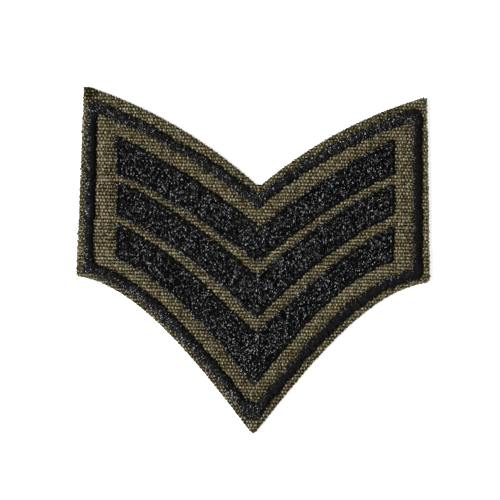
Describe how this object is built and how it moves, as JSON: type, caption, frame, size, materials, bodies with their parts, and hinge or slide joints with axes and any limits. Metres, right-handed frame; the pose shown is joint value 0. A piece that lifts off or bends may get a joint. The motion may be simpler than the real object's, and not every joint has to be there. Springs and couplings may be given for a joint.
{
  "type": "rank chevron patch",
  "caption": "Sleeve patch of olive canvas in a notched and pointed shield outline, with a black satin border and filled black embroidered chevrons that point down.",
  "frame": {"origin": "middle of the patch's box, on the plane of the hem's back, which is the surface that the patch lies on or is sewn to", "axes": "+X across the patch, to the right as seen from the front with the point down, +Y from the point up to the notch, +Z out of the embroidered face"},
  "size_m": [0.0884, 0.0856, 0.003],
  "materials": {
    "canvas": "matt",
    "border_thread": "satin",
    "fill_thread": "satin",
    "edging_thread": "satin"
  },
  "bodies": {
    "root": {"ground_cloth": "canvas", "border_stitching": "border_thread", "top_chevron": "fill_thread", "middle_chevron": "fill_thread", "bottom_chevron": "fill_thread", "top_chevron_edging": "edging_thread", "middle_chevron_edging": "edging_thread", "bottom_chevron_edging": "edging_thread"}
  },
  "joints": []
}
